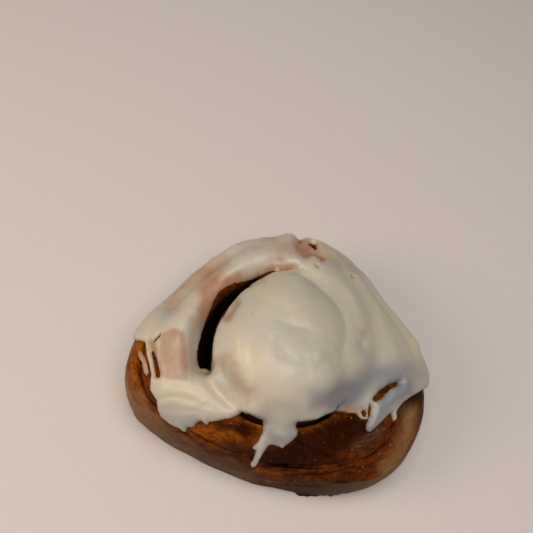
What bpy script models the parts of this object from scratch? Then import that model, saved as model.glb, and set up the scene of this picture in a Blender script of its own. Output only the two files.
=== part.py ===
"""An iced cinnamon roll, pulled from a round tin of rolls that were baked side by side.

A strip of dough is rolled up over a ribbon of cinnamon filling. The inner turns rise into a knob, the
outer ones sit lower round it, and the icing lies over the top and runs down the side in places.
The roll stands on z = 0. The side that was against the tin's wall faces -Y.
A place along the strip is given in turns: 0 points to +X, and turns count anticlockwise from above.
"""

import math

import bmesh
import bpy
import numpy as np

MM = 0.001

# The plan, as (turn, radius in millimetres from the coil's middle). The front follows the tin's wall, and
# the rolls on both sides and behind pressed the rest in.
PLAN = (
    (0.000, 54.2), (0.040, 52.5), (0.090, 47.5), (0.140, 44.5), (0.190, 47.0), (0.250, 49.5), (0.310, 48.5),
    (0.360, 46.5), (0.410, 44.5), (0.460, 44.5), (0.500, 47.0), (0.540, 51.0), (0.570, 52.6), (0.597, 51.4),
    (0.632, 46.2), (0.683, 40.2), (0.740, 38.0), (0.796, 39.0), (0.840, 42.3), (0.883, 47.6), (0.920, 52.0),
    (0.960, 54.0), (1.000, 54.2),
)
COIL_MIDDLE = (-2.6 * MM, -7.5 * MM)

# The strip of dough.
FIRST_TURN = -0.5
KNOB_END_TURN = 2.0
WRAP_START_TURN = 2.25
LAST_TURN = 4.3
SEAM_WIDTH = 1.8 * MM
EYE_RADIUS = 0.4 * MM
FOOT_RADIUS = 3.0 * MM
OUTSIDE_FOOT = 4.0 * MM
OUTSIDE_BELLY = 1.0 * MM
CROWN_ROUNDNESS = 2.4
CROWN_POINTS = 5

# The seam's radius in millimetres along the knob, then as a share of the plan's radius.
KNOB_SEAM = (
    (-1.5, 0.0), (-1.0, 0.0), (-0.5, 2.0), (0.0, 4.0), (0.5, 8.5), (1.0, 14.5), (1.3, 22.0), (1.5, 22.8), (2.0, 24.5),
)
WRAP_SEAM = (
    (2.00, 0.60), (2.25, 0.80), (2.50, 0.84), (2.66, 0.90), (2.76, 0.92), (2.85, 0.85), (2.90, 0.82), (3.00, 0.84),
    (3.30, 0.92), (3.60, 0.99), (4.30, 1.00),
)

# The strip's top edge: turn, height at its inner face, height at its outer face, crown, in millimetres.
TOP_EDGE = (
    (-0.5, 47.0, 47.0, 1.0),
    (0.5, 47.0, 46.0, 1.5),
    (1.0, 46.0, 44.0, 2.0),
    (1.3, 45.0, 37.0, 3.0),
    (1.9, 45.0, 36.0, 3.5),
    (2.1, 42.0, 33.0, 3.0),
    (2.3, 36.0, 33.0, 5.0),
    (2.5, 35.0, 32.0, 6.0),
    (2.75, 33.0, 24.0, 3.0),
    (2.88, 33.0, 25.0, 3.0),
    (3.0, 35.0, 28.0, 3.0),
    (3.25, 31.0, 27.0, 4.0),
    (3.5, 29.0, 24.0, 5.0),
    (3.72, 23.0, 20.5, 1.5),
    (3.88, 24.0, 20.0, 2.5),
    (4.3, 27.0, 22.0, 3.0),
)

# Where the strip came away from the knob: first turn, widest turn, last turn, width in millimetres.
OPENINGS = ((2.28, 2.50, 2.62, 5.0), (2.68, 2.80, 2.93, 1.5))

# The ribbon of filling.
FILLING_THICKNESS = 1.2 * MM
FILLING_DROP = 1.5 * MM
FILLING_BASE = 0.8 * MM

# The icing is drawn on rays from a point inside the roll. A ray's slope is its angle from straight up.
RAYS_FROM = 12.0 * MM
STEEPEST_RAY = 125
RAY_RINGS = 240
COVER_GAP = 1.0 * MM
COVER_REACH = 3
COVER_SOFTNESS = 1.6
FLAT_MIDDLE = 7

# How far the icing runs, as (turn, slope of its edge in degrees).
ICING_EDGE = (
    (0.000, 67), (0.025, 76), (0.100, 80), (0.190, 77), (0.250, 83), (0.340, 79), (0.410, 78), (0.500, 74),
    (0.550, 65), (0.590, 65), (0.625, 69), (0.650, 70), (0.6625, 69), (0.675, 62.5), (0.700, 57), (0.7125, 50.5),
    (0.725, 47), (0.750, 47), (0.7625, 71), (0.775, 59.5), (0.7875, 57.5), (0.800, 57), (0.8125, 54),
    (0.825, 46.5), (0.875, 47.5), (0.9125, 50), (0.925, 60.5), (0.9375, 60), (0.975, 62.8), (1.000, 67),
)

# How thick it lies, as (turn, millimetres), beyond the knob.
ICING_DEPTH = ((0.0, 3.2), (0.15, 3.6), (0.35, 2.8), (0.54, 1.6), (0.60, 1.8), (0.65, 3.2), (0.80, 2.6), (1.0, 3.2))
KNOB_ICING = 2.8 * MM
EDGE_ROUNDING = 3.0 * MM
THINNEST_ICING = 0.5 * MM

# The hole where the icing broke over the opening beside the knob: turn, slopes of its two edges.
HOLE = (
    (0.290, 41.5, 41.5), (0.360, 40.3, 41.4), (0.420, 39.8, 42.4), (0.480, 39.8, 43.6), (0.540, 41.0, 45.6),
    (0.590, 42.5, 46.6), (0.612, 46.0, 46.0),
)
NARROWEST_HOLE = 1.0

ICING_COLUMNS = 80
KNOB_STATIONS = 8
SIDE_STATIONS = 9


def smooth_curve(rows, at, column=1):
    """A smooth curve through rows of (place, value, ...), read at one place."""
    places = [row[0] for row in rows]
    values = [row[column] for row in rows]
    if at <= places[0]:
        return values[0]
    if at >= places[-1]:
        return values[-1]
    i = max(k for k in range(len(places) - 1) if places[k] <= at)
    span = places[i + 1] - places[i]
    slope = (values[i + 1] - values[i]) / span
    before = (values[i] - values[i - 1]) / (places[i] - places[i - 1]) if i else slope
    after = (values[i + 2] - values[i + 1]) / (places[i + 2] - places[i + 1]) if i + 2 < len(places) else slope
    start = limited_mean(before, slope)
    end = limited_mean(slope, after)
    s = (at - places[i]) / span
    return (
        values[i] * (1 + 2 * s) * (1 - s) ** 2
        + values[i + 1] * s * s * (3 - 2 * s)
        + start * span * s * (1 - s) ** 2
        + end * span * s * s * (s - 1)
    )


def limited_mean(a, b):
    """The slope at a point between two stretches, level where they slope opposite ways, so nothing overshoots."""
    return 2 * a * b / (a + b) if a * b > 0 else 0.0


def smooth_step(low, high, x):
    s = min(1.0, max(0.0, (x - low) / (high - low)))
    return s * s * (3 - 2 * s)


def plan_radius(turn):
    return smooth_curve(PLAN, turn % 1) * MM


def seam_radius(turn):
    """The radius of the seam outside the strip at this turn: round in the knob, then following the plan."""
    knob = smooth_curve(KNOB_SEAM, turn) * MM
    wrap = smooth_curve(WRAP_SEAM, turn) * plan_radius(turn)
    share = smooth_step(KNOB_END_TURN - 0.1, WRAP_START_TURN, turn)
    return knob * (1 - share) + wrap * share


def opening(turn):
    """How far the strip's inner face stands away from the turn inside it, at the top."""
    width = 0.0
    for first, widest, last, most in OPENINGS:
        if first < turn < last:
            rise = smooth_step(first, widest, turn)
            fall = 1 - smooth_step(widest, last, turn)
            width = most * MM * min(rise, fall)
    return width


def strip_section(turn):
    """The strip's cross-section as (radius, height) points: foot, outer face, crown, inner face."""
    inner = max(seam_radius(turn - 1) + SEAM_WIDTH / 2, EYE_RADIUS)
    outer = seam_radius(turn) - SEAM_WIDTH / 2
    outside = smooth_step(LAST_TURN - 1, LAST_TURN - 0.9, turn)
    foot = min(FOOT_RADIUS + (OUTSIDE_FOOT - FOOT_RADIUS) * outside, (outer - inner) / 2)
    belly = OUTSIDE_BELLY * outside
    top_inner = inner + opening(turn)
    inner_height, outer_height, crown = (smooth_curve(TOP_EDGE, turn, column) * MM for column in (1, 2, 3))
    section = [(inner, 0.0), (outer - foot, 0.0), (outer - foot * 0.25, foot * 0.5), (outer + belly, outer_height * 0.5)]
    for i in range(CROWN_POINTS + 2):
        across = i / (CROWN_POINTS + 1)
        across = 0.5 - 0.5 * math.cos(math.pi * across)
        rise = crown * (1 - abs(2 * across - 1) ** CROWN_ROUNDNESS)
        radius = outer + (top_inner - outer) * across
        section.append((radius, outer_height + (inner_height - outer_height) * across + rise))
    section.append((inner + opening(turn) * 0.3, inner_height * 0.5))
    return section


def filling_section(turn):
    """The ribbon's cross-section in the seam at this turn."""
    radius = seam_radius(turn)
    top = min(smooth_curve(TOP_EDGE, turn, 2), smooth_curve(TOP_EDGE, turn + 1, 1)) * MM - FILLING_DROP
    half = FILLING_THICKNESS / 2
    return [(radius - half, FILLING_BASE), (radius + half, FILLING_BASE), (radius + half, top), (radius - half, top)]


def dough_reach(turn):
    """How far the dough reaches along each ray at this turn, one value for each degree of slope."""
    reach = np.zeros(STEEPEST_RAY + 1)
    place_on_strip = turn + math.floor(FIRST_TURN) - 1
    while place_on_strip <= LAST_TURN:
        if place_on_strip >= FIRST_TURN:
            section = strip_section(place_on_strip)
            for (r0, z0), (r1, z1) in zip(section, section[1:]):
                share = np.linspace(0, 1, 25)
                radius, height = r0 + (r1 - r0) * share, z0 + (z1 - z0) * share - RAYS_FROM
                slope = np.degrees(np.arctan2(radius, height))
                inside = slope <= STEEPEST_RAY
                np.maximum.at(reach, np.rint(slope[inside]).astype(int), np.hypot(radius, height)[inside])
        place_on_strip += 1
    known = np.flatnonzero(reach)
    return np.interp(np.arange(STEEPEST_RAY + 1), known, reach[known])


def smoothed(grid, softness):
    """The grid blurred along both of its axes. It goes round in turn and ends in slope."""
    steps = np.arange(-math.ceil(3 * softness), math.ceil(3 * softness) + 1)
    weights = np.exp(-0.5 * (steps / softness) ** 2)
    weights /= weights.sum()
    ends = len(steps) // 2
    rows = sum(w * np.roll(grid, k, axis=0) for w, k in zip(weights, steps))
    padded = np.pad(rows, ((0, 0), (ends, ends)), mode="edge")
    return sum(w * padded[:, ends + k : ends + k + grid.shape[1]] for w, k in zip(weights, steps))


def cover_grid():
    """The icing's underside as reach along each ray: the dough's outline, its grooves bridged, clear of it."""
    reach = np.array([dough_reach(i / RAY_RINGS) for i in range(RAY_RINGS)])
    reach[:, :FLAT_MIDDLE] = reach[:, :FLAT_MIDDLE].max()
    widened = reach.copy()
    for turn_step in range(-COVER_REACH, COVER_REACH + 1):
        rolled = np.roll(reach, turn_step, axis=0)
        for slope_step in range(-COVER_REACH, COVER_REACH + 1):
            columns = np.clip(np.arange(reach.shape[1]) + slope_step, 0, reach.shape[1] - 1)
            widened = np.maximum(widened, rolled[:, columns])
    return smoothed(widened, COVER_SOFTNESS) + COVER_GAP


def read_grid(grid, turn, slope):
    """The grid's value at a turn and a slope in degrees."""
    ring = (turn % 1) * RAY_RINGS
    i, j = int(ring), int(slope)
    u, v = ring - i, slope - j
    i, following = i % RAY_RINGS, (i + 1) % RAY_RINGS
    low = grid[i, j] * (1 - u) + grid[following, j] * u
    high = grid[i, j + 1] * (1 - u) + grid[following, j + 1] * u
    return low * (1 - v) + high * v


def hole_slopes(turn):
    """The slopes of the hole's two edges at this turn. They are the same where there is no hole."""
    return smooth_curve(HOLE, turn), smooth_curve(HOLE, turn, 2)


def icing_slopes(turn):
    """The slopes of the stations down one column: to the hole's inner edge, then from its outer edge on."""
    edge = smooth_curve(ICING_EDGE, turn)
    inner, outer = hole_slopes(turn)
    outer = max(outer, inner + NARROWEST_HOLE)
    middle = [inner * (i + 1) / KNOB_STATIONS for i in range(KNOB_STATIONS)]
    steps = [i / (SIDE_STATIONS - 1) for i in range(SIDE_STATIONS)]
    side = [outer + (edge - outer) * (1 - (1 - step) ** 1.2) for step in steps]
    return middle + side


def icing_depth(turn, slope, reach):
    """The icing's thickness: rounded off towards its edge and towards the hole."""
    inner, outer = hole_slopes(turn)
    outside = smooth_step(inner - 6, outer + 6, slope)
    full = KNOB_ICING * (1 - outside) + smooth_curve(ICING_DEPTH, turn) * MM * outside
    to_edge = smooth_curve(ICING_EDGE, turn) - slope
    if outer - inner > NARROWEST_HOLE:
        to_edge = min(to_edge, max(inner - slope, slope - outer))
    share = min(1.0, max(0.0, math.radians(to_edge) * reach / EDGE_ROUNDING))
    return max(THINNEST_ICING, full * math.sqrt(1 - (1 - share) ** 2))


def on_ray(turn, slope, reach):
    steep = math.radians(slope)
    return place(reach * math.sin(steep), turn, RAYS_FROM + reach * math.cos(steep))


def make_icing():
    """The icing as two sheets, joined along its edge and round the hole."""
    cover = cover_grid()
    mesh = bmesh.new()
    under, over = [], []
    for column in range(ICING_COLUMNS):
        turn = column / ICING_COLUMNS
        slopes = icing_slopes(turn)
        reaches = [read_grid(cover, turn, slope) for slope in slopes]
        depths = [icing_depth(turn, slope, reach) for slope, reach in zip(slopes, reaches)]
        under.append([mesh.verts.new(on_ray(turn, s, r)) for s, r in zip(slopes, reaches)])
        over.append([mesh.verts.new(on_ray(turn, s, r + d)) for s, r, d in zip(slopes, reaches, depths)])
    middle_reach = read_grid(cover, 0, 0)
    poles = [mesh.verts.new(on_ray(0, 0, middle_reach + lift)) for lift in (0, KNOB_ICING)]
    for sheet, pole in zip((under, over), poles):
        for column in range(ICING_COLUMNS):
            here, following = sheet[column], sheet[(column + 1) % ICING_COLUMNS]
            mesh.faces.new((pole, here[0], following[0]))
            for row in range(len(here) - 1):
                if row == KNOB_STATIONS - 1 and in_hole(column):
                    continue
                mesh.faces.new((here[row], here[row + 1], following[row + 1], following[row]))
    partner = {vertex: other for a, b in zip(over, under) for vertex, other in zip(a, b)}
    for edge in [e for e in mesh.edges if len(e.link_faces) == 1 and e.verts[0] in partner]:
        first, second = edge.verts
        mesh.faces.new((first, second, partner[second], partner[first]))
    bmesh.ops.recalc_face_normals(mesh, faces=mesh.faces)
    return add_object("icing", mesh)


def in_hole(column):
    """Whether the hole opens between this column and the next."""
    edges = [hole_slopes(k / ICING_COLUMNS) for k in (column, column + 1)]
    return all(outer - inner > NARROWEST_HOLE for inner, outer in edges)


def place(radius, turn, height):
    angle = 2 * math.pi * turn
    return (
        COIL_MIDDLE[0] + radius * math.cos(angle),
        COIL_MIDDLE[1] + radius * math.sin(angle),
        height,
    )


def turns_between(first, last):
    """Places along the strip, closer together where its radius is larger."""
    places = [first]
    while places[-1] < last:
        per_turn = 24 if places[-1] < 1 else 32 if places[-1] < 2 else 42
        places.append(places[-1] + 1 / per_turn)
    if last - places[-2] < 0.5 / 42:
        places.pop()
    places[-1] = last
    return places


def swept_solid(name, section_at, turns):
    """A closed solid swept along the coil, one cross-section at each turn given."""
    mesh = bmesh.new()
    rings = [[mesh.verts.new(place(r, turn, z)) for r, z in section_at(turn)] for turn in turns]
    for ring, following in zip(rings, rings[1:]):
        for i in range(len(ring)):
            j = (i + 1) % len(ring)
            mesh.faces.new((ring[i], following[i], following[j], ring[j]))
    mesh.faces.new(rings[0])
    mesh.faces.new(list(reversed(rings[-1])))
    bmesh.ops.recalc_face_normals(mesh, faces=mesh.faces)
    return add_object(name, mesh)


def add_object(name, mesh):
    data = bpy.data.meshes.new(name)
    mesh.to_mesh(data)
    mesh.free()
    data.shade_smooth()
    data.set_sharp_from_angle(angle=math.radians(50))
    thing = bpy.data.objects.new(name, data)
    bpy.context.scene.collection.objects.link(thing)
    return thing


def add_material(thing, colour, roughness):
    material = bpy.data.materials.new(thing.name)
    material.use_nodes = True
    shader = material.node_tree.nodes["Principled BSDF"]
    shader.inputs["Base Color"].default_value = (*colour, 1.0)
    shader.inputs["Roughness"].default_value = roughness
    thing.data.materials.append(material)


def build():
    for thing in list(bpy.data.objects):
        bpy.data.objects.remove(thing)
    dough = swept_solid("dough", strip_section, turns_between(FIRST_TURN, LAST_TURN))
    add_material(dough, (0.42, 0.20, 0.07), 0.55)
    filling = swept_solid("cinnamon_filling", filling_section, turns_between(0.0, LAST_TURN - 1))
    add_material(filling, (0.12, 0.035, 0.012), 0.4)
    add_material(make_icing(), (0.80, 0.74, 0.60), 0.35)


build()
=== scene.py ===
"""The looks of the iced cinnamon roll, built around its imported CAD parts.

All three parts are rebuilt finer from the CAD's own formulas: the strip of dough, the ribbon of filling in
its seam, and the icing, which is laid over the finished dough by rays from a point under the roll.
A place along the strip is given in turns: 0 points to +X, and turns count anticlockwise from above.
A ray's slope is its angle from straight up, in degrees.
"""

import math

import bpy
import numpy as np
from mathutils import Matrix, Vector
from mathutils.bvhtree import BVHTree
from mathutils.kdtree import KDTree


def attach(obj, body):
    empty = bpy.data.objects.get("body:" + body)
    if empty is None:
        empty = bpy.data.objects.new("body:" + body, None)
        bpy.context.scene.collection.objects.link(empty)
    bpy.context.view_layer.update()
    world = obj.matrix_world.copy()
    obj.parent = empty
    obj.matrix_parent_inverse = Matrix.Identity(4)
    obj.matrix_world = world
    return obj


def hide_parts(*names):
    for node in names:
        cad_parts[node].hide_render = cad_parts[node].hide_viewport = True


MM = 0.001
TURN = 2 * math.pi

# The CAD's plan, seam, top edge and openings, in millimetres, by turn. At the front the openings are wider
# here, and the last seam lies further out. The top edge has an inner and an outer height and a crown.
COIL_MIDDLE = np.array((-2.6, -7.5, 0.0))
PLAN = (
    (0.000, 54.2), (0.040, 52.5), (0.090, 47.5), (0.140, 44.5), (0.190, 47.0), (0.250, 49.5), (0.310, 48.5),
    (0.360, 46.5), (0.410, 44.5), (0.460, 44.5), (0.500, 47.0), (0.540, 51.0), (0.570, 52.6), (0.597, 51.4),
    (0.632, 46.2), (0.683, 40.2), (0.740, 38.0), (0.796, 39.0), (0.840, 42.3), (0.883, 47.6), (0.920, 52.0),
    (0.960, 54.0), (1.000, 54.2),
)
KNOB_SEAM = (
    (-1.5, 0.0), (-1.0, 0.0), (-0.5, 2.0), (0.0, 4.0), (0.5, 8.5), (1.0, 14.5), (1.3, 22.0),
    (1.5, 22.8), (2.0, 24.5),
)
WRAP_SEAM = (
    (2.00, 0.60), (2.25, 0.80), (2.50, 0.84), (2.58, 0.90), (2.66, 0.95), (2.76, 0.95), (2.85, 0.91),
    (2.90, 0.86), (3.00, 0.84), (3.30, 0.92), (3.60, 0.99), (4.30, 1.00),
)
TOP_EDGE = (
    (-0.5, 47.0, 47.0, 1.0),
    (0.5, 47.0, 46.0, 1.5),
    (1.0, 46.0, 44.0, 2.0),
    (1.3, 45.0, 37.0, 3.0),
    (1.9, 45.0, 36.0, 3.5),
    (2.1, 42.0, 33.0, 3.0),
    (2.3, 36.0, 33.0, 5.0),
    (2.5, 35.0, 32.0, 6.0),
    (2.75, 33.0, 24.0, 3.0),
    (2.88, 33.0, 25.0, 3.0),
    (3.0, 35.0, 28.0, 3.0),
    (3.25, 31.0, 27.0, 4.0),
    (3.5, 29.0, 24.0, 5.0),
    (3.72, 23.0, 20.5, 1.5),
    (3.88, 24.0, 20.0, 2.5),
    (4.3, 27.0, 22.0, 3.0),
)
OPENING = (
    (2.000, 0.0), (2.280, 0.0), (2.400, 1.2), (2.460, 1.8), (2.490, 2.6), (2.536, 3.6), (2.562, 4.4),
    (2.600, 5.6), (2.618, 5.0), (2.634, 0.0), (2.690, 0.0), (2.715, 3.2), (2.780, 2.8), (2.890, 2.6),
    (2.920, 0.0), (4.300, 0.0),
)
FIRST_TURN = -0.5
KNOB_END_TURN = 2.0
WRAP_START_TURN = 2.25
LAST_TURN = 4.3
SEAM_WIDTH = 1.8
THIN_SEAM_WIDTH = 0.06
FRONT_TURN = 0.76
EYE_RADIUS = 0.4
FOOT_RADIUS = 3.0
OUTSIDE_FOOT = 4.0
OUTSIDE_BELLY = 1.0
CROWN_ROUNDNESS = 2.4
ARCHED_BY = 0.4
# From this turn on the strip's wall is the outside of the roll.
OUTSIDE_TURN = LAST_TURN - 1
# Turns over which the seams close to thin lines, the crown gets more arched, and the tail's crown is lower.
SEAM_CLOSES = (2.1, 2.5)
CROWN_ARCHES = (2.55, 2.65)
TAIL_LOWERS = (3.55, 3.65)
TAIL_RISES = (3.95, 4.05)
TAIL_SHARE = 0.5
# The radius at which lengths along the strip are counted.
STRIP_RADIUS = 38.0

# How finely the dough is made: rings for each turn up to a turn, and points along each stretch of its
# section, from its bottom round to its inner wall.
RINGS = ((1.0, 70), (2.0, 130), (3.0, 260), (4.3, 320))
BOTTOM_POINTS = 3
FOOT_POINTS = 5
WALL_POINTS = 18
CROWN_STEPS = 22
INNER_POINTS = 8
BOTTOM, FOOT, WALL, CROWN, INNER = range(5)
NOISE_LAYERS = 3
NOISE_REACH = 1.6

# The rays that the icing is drawn on: their start, how far they go, the reach of one that meets nothing.
RAYS_FROM = -60.0
RAYS_TO = 120.0
EMPTY_REACH = 15.0
COLUMNS = 440
ROWS = 128
LAST_SLOPE = 42.0

# The photograph's own view. Pixels are those of its frame of 533 by 533, x to the right and y down.
EYE = np.array((-7.82, -105.01, 248.82))
FORWARD = np.array((-0.03722, 0.50248, -0.86378))
UP = np.array((-0.31974, 0.81296, 0.48669))
FRAME_PIXELS = 533
FOCAL_PIXELS = 700

RAYS_MIDDLE = COIL_MIDDLE + (0.0, 0.0, RAYS_FROM)
# About how much of the roll a pixel spans.
MM_PER_PIXEL = 0.37

# The knob under its icing: turn, radius of its rim, which hangs over at the front.
KNOB_RIM = (
    (0.000, 22.3), (0.200, 22.3), (0.273, 25.6), (0.306, 25.0), (0.344, 24.0), (0.388, 22.6), (0.420, 21.6),
    (0.475, 21.6), (0.527, 22.3), (0.558, 23.2), (0.600, 24.4), (0.660, 26.0), (0.710, 27.2), (0.755, 26.6),
    (0.830, 26.7), (0.870, 27.4), (0.910, 27.0), (0.950, 24.5), (1.000, 22.3),
)
KNOB_TOP = 49.2
KNOB_FALL = 10.5
KNOB_ROUNDNESS = 2.9
# Half the width of the dark line that is left open beside the knob: turn, millimetres.
OPEN_LINE = (
    (0.000, 0.0), (0.260, 0.0), (0.360, 0.7), (0.585, 0.7), (0.602, 0.0), (0.690, 0.0), (0.715, 0.7),
    (0.925, 0.7), (0.940, 0.0), (1.000, 0.0),
)
RIM_HEIGHT = 38.0
LIP_FALL = 4.4

# Where icing bridges the furrow round the knob: turn, how far it does, how full it is there.
FILLED = (
    (0.000, 1.0, 0.9), (0.200, 1.0, 0.8), (0.250, 1.0, 0.3), (0.285, 0.0, 0.0), (0.602, 0.0, 0.2),
    (0.616, 1.0, 0.6), (0.660, 1.0, 0.3), (0.700, 1.0, 0.2), (0.722, 0.0, 0.3), (0.748, 0.0, 0.6),
    (0.768, 1.0, 0.8), (0.810, 1.0, 0.8), (0.828, 0.0, 0.6), (0.890, 0.0, 0.6), (0.925, 1.0, 0.8),
    (1.000, 1.0, 0.9),
)

# How far the icing runs down each side: turn, height of its hem. The front has an outline of its own.
ICING_HEM = (
    (0.000, 21), (0.025, 20), (0.100, 18), (0.190, 22), (0.250, 17), (0.340, 20), (0.410, 21), (0.500, 22),
    (0.530, 17), (0.560, 6), (0.700, 6), (0.960, 6), (1.000, 21),
)
# How thick the icing is beyond the knob: turn, millimetres.
ICING_DEPTH = (
    (0.00, 3.0), (0.15, 3.4), (0.35, 2.6), (0.54, 1.7), (0.60, 1.9), (0.65, 3.0), (0.70, 2.4), (0.79, 2.0),
    (0.85, 2.0), (0.93, 1.7), (1.00, 3.0),
)

# The icing as the photograph shows it, in its pixels: the front edge with its runs, and the holes.
ICING_OUTLINE = (
    (80, 100), (80, 335), (132, 338), (144, 341), (145, 351), (147, 361), (149, 369), (150, 375),
    (149, 381), (149, 390), (152, 395), (156, 401), (157, 411), (161, 418), (170, 425), (178, 428),
    (184, 433), (186, 427), (193, 427), (195, 423), (200, 420), (204, 423), (206, 426), (208, 422),
    (216, 421), (230, 418), (240, 414), (248, 413), (258, 418), (263, 420), (263, 431), (258, 442),
    (253, 446), (252, 449), (256, 451), (255, 455), (253, 461), (250, 464), (252, 468), (256, 467),
    (259, 462), (262, 456), (266, 450), (269, 446), (273, 445), (280, 447), (283, 449), (286, 446),
    (292, 442), (298, 436), (299, 431), (297, 426), (298, 422), (310, 421), (318, 419), (328, 414),
    (336, 411), (343, 411), (350, 413), (358, 413), (363, 419), (370, 420), (370, 409), (371, 404),
    (373, 408), (372, 415), (369, 423), (368, 429), (371, 433), (378, 427), (386, 419), (393, 412),
    (394, 416), (396, 422), (398, 419), (397, 413), (399, 409), (404, 403), (412, 397), (430, 386),
    (450, 378), (500, 360), (500, 100),
)
CRESCENT_GAP = (
    (275, 268), (262, 272), (248, 278), (236, 281), (226, 285), (218, 291), (213, 300), (208, 311),
    (204, 321), (200, 333), (198, 345), (197, 357), (197, 364), (200, 368), (205, 367), (209, 365),
    (212, 360), (216, 345), (222, 330), (236, 310), (252, 294), (264, 284), (275, 276),
)
RUN_ARCH = (
    (373, 400), (380, 391), (390, 384), (401, 381), (399, 385), (392, 389), (384, 398), (378, 401),
)
SMALL_RING = ((364, 411), (367, 410), (369, 413), (368, 417), (365, 417), (363, 414))
BACK_PIT = ((309, 242), (312, 239), (316, 242), (318, 246), (316, 248), (312, 245))
LEFT_SMEAR = (
    (136, 349), (140, 350), (144, 359), (147, 371), (145, 376), (142, 372), (140, 361), (136, 354),
)
LEFT_PATCH = ((152, 339), (155, 337), (159, 333), (160, 335), (156, 339), (153, 341))
LEFT_STREAK = (
    (150, 350), (152, 350), (155, 358), (157, 366), (159, 374), (158, 377), (155, 376), (153, 366),
)
THIN_PATCH = (
    (161, 333), (172, 328), (184, 330), (188, 345), (189, 365), (190, 382), (176, 381), (160, 378),
    (158, 360),
)
# Each hole, and the height that it doesn't reach below.
ICING_HOLES = (
    (CRESCENT_GAP, 0), (RUN_ARCH, 0), (SMALL_RING, 0), (BACK_PIT, 27), (LEFT_PATCH, 0), (LEFT_STREAK, 0),
)

# Brush strokes on the icing: half width, strength, the pixels that each runs through.
# Thin icing, where the crust shows through, and painted shade: the band along the opening's outer side, the
# line at the knob's upper edge, the furrow below the opening, the upper left and the back.
THIN_AND_SHADED_ICING = (
    (5, 1.0, ((238, 278), (224, 286), (213, 300), (206, 312))),
    (15, 0.75, ((170, 300), (184, 282), (200, 266))),
    (14, 0.5, ((286, 248), (325, 254), (350, 270))),
    (5, 1.0, ((151, 342), (153, 356), (155, 374))),
    (7, 0.55, ((194, 330), (192, 350), (195, 372))),
    (10, 0.65, ((206, 288), (214, 272), (224, 262))),
    (8, 0.45, ((256, 242), (270, 240))),
    (6, 0.75, ((227, 316), (236, 304))),
    (4, 0.5, ((250, 286), (264, 279))),
    (2.5, 1.0, ((240, 281), (256, 276), (272, 270), (286, 268), (298, 268))),
    (6, 0.55, ((203, 322), (212, 298), (230, 280), (254, 270), (282, 262))),
    (6, 0.25, ((205, 368), (210, 380), (218, 391), (229, 401))),
    (3, 0.9, ((138, 351), (143, 362), (145, 374))),
    (1.3, 1.0, ((229, 281),)),
    (1.3, 1.0, ((241, 246),)),
    (1.5, 1.0, ((319, 267),)),
    (1.3, 1.0, ((351, 278),)),
    (9, 0.55, ((196, 318), (206, 300), (220, 284))),
    (14, 0.5, ((224, 362), (234, 378), (250, 392))),
    (8, 0.45, ((316, 406), (334, 398), (348, 386))),
    (6, 0.4, ((366, 334), (362, 346))),
    (6, 0.8, ((350, 409), (364, 409))),
    (6, 1.0, ((300, 241), (303, 246), (309, 252))),
    (3, 0.9, ((316, 252), (325, 260))),
    (12, 0.4, ((262, 426), (275, 440), (290, 436))),
    (10, 0.14, ((227, 336), (230, 356), (240, 372))),
)
# Yellower, thicker icing, and painted highlights: two streaks and the lit left side of the knob, and the
# lit ridges of the folds on the right and in the furrow.
RICH_AND_HIGHLIT_ICING = (
    (11, 0.9, ((384, 288), (400, 318), (412, 345))),
    (10, 0.6, ((250, 226), (290, 229), (335, 245))),
    (10, 0.8, ((146, 306), (170, 276), (205, 246))),
    (7, 0.3, ((207, 376), (216, 390), (230, 402))),
    (12, 0.25, ((284, 302), (296, 308))),
    (2.2, 0.7, ((238, 344), (240, 360))),
    (2.2, 0.7, ((248, 346), (249, 364))),
    (13, 0.25, ((235, 335), (245, 352), (258, 372))),
    (9, 0.4, ((166, 388), (190, 392), (204, 400))),
)
# Painted shade on the icing, grey-blue: the runs, the lower right, the slopes beside the knob, the band
# along the opening and the arc of the ring.
SHADE_ON_ICING = (
    (9, 1.0, ((371, 428), (384, 405), (404, 391))),
    (15, 0.9, ((345, 394), (380, 376), (415, 368))),
    (12, 0.4, ((300, 415), (330, 402))),
    (9, 0.4, ((165, 415), (190, 420))),
    (12, 0.8, ((262, 426), (275, 440), (290, 436))),
    (6, 0.6, ((254, 448), (252, 468))),
    (10, 0.55, ((312, 394), (330, 402), (350, 398))),
    (10, 0.4, ((352, 290), (366, 320), (364, 350))),
    (9, 0.3, ((297, 284), (322, 292))),
    (6, 0.5, ((200, 330), (207, 306), (222, 284), (248, 270), (284, 260))),
    (5, 0.4, ((194, 336), (192, 362))),
    (14, 0.45, ((164, 306), (184, 284), (206, 264))),
    (13, 0.28, ((284, 326), (300, 330), (308, 346))),
    (6, 0.22, ((277, 350), (284, 360), (297, 366), (312, 364), (320, 357))),
)
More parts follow.
